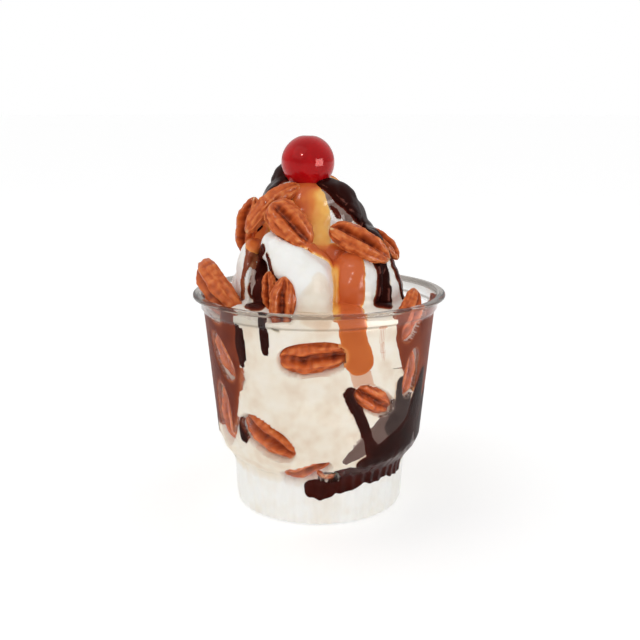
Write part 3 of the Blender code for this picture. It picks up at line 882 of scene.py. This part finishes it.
# Painted shade: where the smooth face dips to the lower right, away from the light, its white is darkened
# towards brown
face_painted_shade = laid([
    [0.7, (322, 283, 4.0), (320, 296, 6.0), (316, 312, 7.0)],
], seen)
stain_and_shade(top_scoop, 0.34, 0.02, [fudge_runs, caramel_runs[:1], back_fudge], [face_painted_shade])


# The fudge layer was poured on the lowest scoop. It is thickest against the right wall, where it climbs,
# and it thins out to a tongue at the front.

# Its lumps: centre, half-sizes
FUDGE_LUMPS = [
    ((0, -30, 14.0), (6, 7, 4)),
    ((9, -28, 18.5), (9, 9, 6.5)),
    ((19, -24, 21), (11, 11, 7.5)),
    ((28, -16, 21.5), (10, 11, 8)),
    ((35, -10, 30), (7, 11, 9)),
    ((12, -14, 20), (17, 15, 4)),
]
FUDGE_CONTACT = 0.25
# How deep the layer counts for its colour
LAYER_THICK = 0.8

layer_bm = bmesh.new()
for centre, radii in FUDGE_LUMPS:
    bmesh.ops.create_icosphere(
        layer_bm, subdivisions=3, radius=1, matrix=Matrix.Translation(centre) @ Matrix.Diagonal((*radii, 1)),
    )
layer_bm = run_together(layer_bm, 0.6, 6)
for vert in layer_bm.verts:
    vert.co += vert.normal * (noise.noise(vert.co / 5) * 1.0 + noise.noise(vert.co / 2) * 0.4)
    plain_wall = side_radius(vert.co.z) - CUP_WALL + FUDGE_CONTACT
    near_wall = smoothstep(vert.co.xy.length, plain_wall - 2.0, plain_wall)
    fluted = near_wall * flute(math.atan2(vert.co.y, vert.co.x), vert.co.z)
    vert.co.xy = vert.co.xy.normalized() * (min(vert.co.xy.length, plain_wall) + fluted)
make_room(layer_bm)
bare_tip(layer_bm)
thick_layer = layer_bm.verts.layers.float.new("thick")
for vert in layer_bm.verts:
    vert[thick_layer] = LAYER_THICK
set_down("fudge_layer_poured", layer_bm, fudge, "fudge", "fudge_layer")


# The sauces that have run down inside the cup lie flat against its wall: caramel and fudge from the top, run
# together at the sides, and fudge from the layer below, whipped up with custard or thinned to a film.

# The cup's inner face as it is laid out for them, in these steps
WALL_TOP = 76.9
WALL_FOOT = 0.7
WALL_STEP = 0.6
WALL_TURNS = 400
wall_profile = [
    (side_radius(height) - CUP_WALL, height) for height in np.arange(WALL_TOP, WALL_FOOT, -WALL_STEP)
]
wall_bm = turned(wall_profile, WALL_TURNS)
for vert in wall_bm.verts:
    vert.co.xy += vert.co.xy.normalized() * flute(math.atan2(vert.co.y, vert.co.x), vert.co.z)
wall_bm.normal_update()

# Each run is its depth, then points as (degrees round from the front, height, radius)
wall_caramel = laid([
    [0.9, (14.0, 78, 5.0), (15.2, 72, 4.9), (17.0, 67, 5.1), (19.4, 62, 5.3)],
    [0.45, (66, 72, 1.7), (67, 64, 1.9), (66, 54, 1.6)],
    [0.45, (59, 69, 0.8), (61, 62, 0.8), (60, 53, 0.8), (57, 47, 0.8)],
    [0.8, (150, 76, 5), (152, 66, 4.5), (155, 58, 4)],
], on_wall)
wall_mixed = laid([
    [0.8, (-52, 77, 8), (-52, 68, 8), (-52, 58, 8), (-54, 49, 7.5), (-57, 40, 6.5), (-61, 34, 5)],
    [0.8, (-68, 77, 9), (-68, 66, 9), (-68, 54, 9), (-70, 44, 8), (-74, 37, 6)],
    [0.8, (-88, 77, 9), (-88, 64, 9), (-88, 52, 9), (-88, 43, 7)],
    [0.6, (45, 77, 6.5), (47, 69, 7), (51, 61, 6.5), (60, 54, 7)],
    [0.7, (62, 77, 8), (67, 68, 8.5), (72, 58, 8.5), (76, 50, 8)],
    [0.7, (84, 76, 8), (86, 64, 8), (88, 52, 8), (90, 44, 7)],
    [0.5, (205, 74, 6), (204, 62, 6), (206, 52, 5)],
], on_wall)
wall_fudge = laid([
    [0.9, (66, 52, 3), (64, 45, 5), (61, 38, 6.5), (55, 31, 7), (46, 28, 5.5), (36, 26, 4.5), (26, 24, 3.5)],
    [0.9, (52, 33, 5), (42, 30.5, 3.5), (31, 27.5, 2.5)],
    [0.9, (77, 43, 3.0), (76, 37, 6), (72, 31, 7), (84, 29, 7), (94, 29, 6)],
    # This run and the one at -41° are thin dark stripes laid in the shaded gaps beside the left pecans:
    # painted shade in the fudge's colour
    [0.8, (-38.5, 71, 1.2), (-38.5, 66, 1.5), (-38, 61, 1.0)],
    [0.8, (15, 51, 2.4), (18, 46, 2.4), (22, 40, 2.0), (26, 34, 2.2), (29, 29, 3)],
    [0.8, (-44, 38, 1.2), (-44, 34, 2.2), (-43.5, 31.5, 1.8)],
    [0.8, (-26, 76, 1.7), (-26, 70, 1.9), (-25.5, 65, 1.6)],
    [0.7, (-41, 73, 1.2), (-42, 66, 1.7), (-40, 59, 1.4)],
    [0.9, (84, 32, 7), (100, 28, 6), (118, 27, 5), (132, 30, 4)],
    [0.8, (176, 76, 2.2), (178, 64, 2.2), (177, 52, 2.4)],
    [0.8, (246, 30, 6), (262, 27, 6), (276, 30, 4)],
], on_wall)
# Fudge whipped up with custard, full of small bubbles
wall_foam = laid([
    [0.7, (46, 51, 3.4), (48, 46, 5.0), (48, 40.5, 5.4), (42, 37, 5.0)],
], on_wall)
wall_film = laid([
    [0.5, (44, 41, 4.5), (37, 37.5, 5.0), (30, 33.5, 4.6), (22, 29.5, 3.2), (15, 26.5, 2.0)],
], on_wall)
wall_haze = laid([
    [0.4, (19, 60, 4.6), (21, 56, 4.4), (24, 52.5, 3.4)],
    [0.4, (30, 73, 2.2), (30.5, 67, 2.0), (32, 62, 1.6)],
], on_wall)
# The lowest scoop is creamier towards its top
base_veil = laid([
    [0.5, *((turn, 21.5, 7.0) for turn in range(0, 361, 12))],
], on_wall)
mixed_sauce = sauce("caramel and fudge run together", [
    (0.0, tone(166, 96, 66)), (0.4, tone(138, 66, 40)), (0.7, tone(116, 50, 30)), (1.0, tone(82, 30, 20)),
], 0.45, shine=0.04)
wall_caramel_sauce = sauce("caramel flattened by the wall", [
    (0.25, tone(206, 130, 74)), (0.5, tone(200, 108, 52)), (1.0, tone(186, 92, 42)),
], 0.3, shine=0.06)
pressed_fudge = sauce("fudge flattened by the wall", [
    (0.0, tone(120, 66, 48)), (0.3, tone(70, 26, 18)), (1.0, tone(28, 9, 7)),
], 0.4, shine=0.03)
haze = sauce("caramel melted into the white", [
    (0.0, tone(226, 204, 184)), (0.3, tone(214, 172, 146)), (1.0, tone(198, 138, 106)),
], 0.3)
foam = sauce("bubbly fudge", [
    (0.2, tone(110, 92, 84)), (0.5, tone(76, 60, 56)), (0.9, tone(44, 32, 30)),
], 0.4, shine=0.05)
stain_and_shade(middle_scoop, 0.36, 0.3, [wall_mixed, wall_fudge, wall_foam])
stain_and_shade(base_scoop, 0.04, 0.04, [wall_fudge], [base_veil])
# What covers the next in the photograph reaches a little further into the wall
WALL_SINK = 1.2
for name, runs, material, at_wall in (
    ("mixed_sauce_on_the_wall", wall_mixed, mixed_sauce, 0.26),
    ("haze_on_the_wall", wall_haze, haze, 0.27),
    ("fudge_film_on_the_wall", wall_film, film, 0.28),
    ("bubbly_fudge_on_the_wall", wall_foam, foam, 0.29),
    ("caramel_on_the_wall", wall_caramel, wall_caramel_sauce, 0.3),
    ("fudge_on_the_wall", wall_fudge, pressed_fudge, 0.32),
):
    pour(name, wall_bm, runs, material, "fudge", WALL_SINK, at_wall)
wall_bm.free()


# A maraschino cherry without its stem crowns the peak: taut wet skin, dark at its heart where the syrup
# has soaked in.

CHERRY_RADIUS = 9.4
CHERRY_CENTRE = (-3.9, -4.0, 125.4)

cherry_bm = bmesh.new()
bmesh.ops.create_uvsphere(cherry_bm, u_segments=72, v_segments=48, radius=CHERRY_RADIUS)
for vert in cherry_bm.verts:
    stalk_end = math.exp(-((1 - vert.co.z / CHERRY_RADIUS) / 0.012))
    vert.co *= 1 + 0.012 * noise.noise(vert.co / 7)
    vert.co.z -= 0.05 * CHERRY_RADIUS * stalk_end
bmesh.ops.translate(cherry_bm, vec=CHERRY_CENTRE, verts=cherry_bm.verts)
cherry_skin, cherry_shader = finish_for(
    "cherry in syrup", Roughness=0.12, Specular_IOR_Level=0.35, Specular_Tint=tone(255, 120, 110),
    Coat_Weight=0.2, Coat_Roughness=0.03, Coat_Tint=tone(255, 200, 195), Subsurface_Weight=0.1,
    Subsurface_Scale=0.003,
)
paint(cherry_skin, cherry_shader, shades(
    cherry_skin, grain(cherry_skin, 130, 2.0), [(0.3, tone(158, 8, 16)), (0.7, tone(188, 14, 22))],
))
roughen(cherry_skin, cherry_shader, grain(cherry_skin, 220, 2.0), 0.08, 0.5)
set_down("cherry_in_syrup", cherry_bm, cherry_skin, "cherry", "cherry")


# The table and the studio: a pale floor, a large soft light from the upper left, and a pale room that is
# darker low down, which draws the edges of the clear plastic.

floor_bm = bmesh.new()
bmesh.ops.create_circle(floor_bm, cap_ends=True, segments=96, radius=20000)
bmesh.ops.scale(floor_bm, vec=(MM, MM, MM), verts=floor_bm.verts)
floor_mesh = bpy.data.meshes.new("floor")
floor_bm.to_mesh(floor_mesh)
floor_bm.free()
floor_paint, floor_shader = finish_for(
    "pale table", Roughness=0.7, Emission_Color=tone(255, 255, 255), Emission_Strength=0.2,
)
paint(floor_paint, floor_shader, shades(floor_paint, grain(floor_paint, 6), [
    (0.0, tone(250, 250, 250)), (1.0, tone(252, 252, 252)),
]))
floor_mesh.materials.append(floor_paint)
floor = bpy.data.objects.new("floor", floor_mesh)
bpy.context.scene.collection.objects.link(floor)


def soft_light(name, place, size, power):
    """A square soft box that faces the sundae's middle."""
    data = bpy.data.lights.new(name, "AREA")
    data.shape = "SQUARE"
    data.size = size
    data.energy = power
    lamp = bpy.data.objects.new(name, data)
    lamp.location = place
    towards = Vector((0, 0, AIM_HEIGHT * MM)) - lamp.location
    lamp.rotation_euler = towards.to_track_quat("-Z", "Y").to_euler()
    bpy.context.scene.collection.objects.link(lamp)
    return lamp


soft_light("key", (-0.55, -0.5, 0.75), 0.9, 1.5)
# Two small lamps that only put gleams on what is wet
for lamp in (
    soft_light("window", (0.45, -0.38, 0.10), 0.38, 5.5), soft_light("spot", (-0.25, -0.5, 0.5), 0.07, 0.9),
):
    lamp.visible_diffuse = False

# The room gets paler towards its ceiling, and behind the sundae it shows as plain white
ROOM_LOW = (0.46, 0.46, 0.46, 1)
ROOM_HIGH = (0.88, 0.88, 0.88, 1)
room = bpy.data.worlds.new("room")
room.use_nodes = True
bpy.context.scene.world = room
way_out = wire(room, "TexCoord", {}).outputs["Generated"]
way_up = wire(room, "SeparateXYZ", {"Vector": way_out}).outputs["Z"]
room_tone = shades(room, way_up, [(0.0, ROOM_LOW), (0.6, ROOM_HIGH)])
straight = wire(room, "LightPath", {}).outputs["Is Camera Ray"]
room_light = room.node_tree.nodes["Background"].inputs["Color"]
room.node_tree.links.new(blended(room, straight, room_tone, (1, 1, 1, 1)), room_light)
bpy.context.scene.view_settings.view_transform = "Standard"

mound.free()
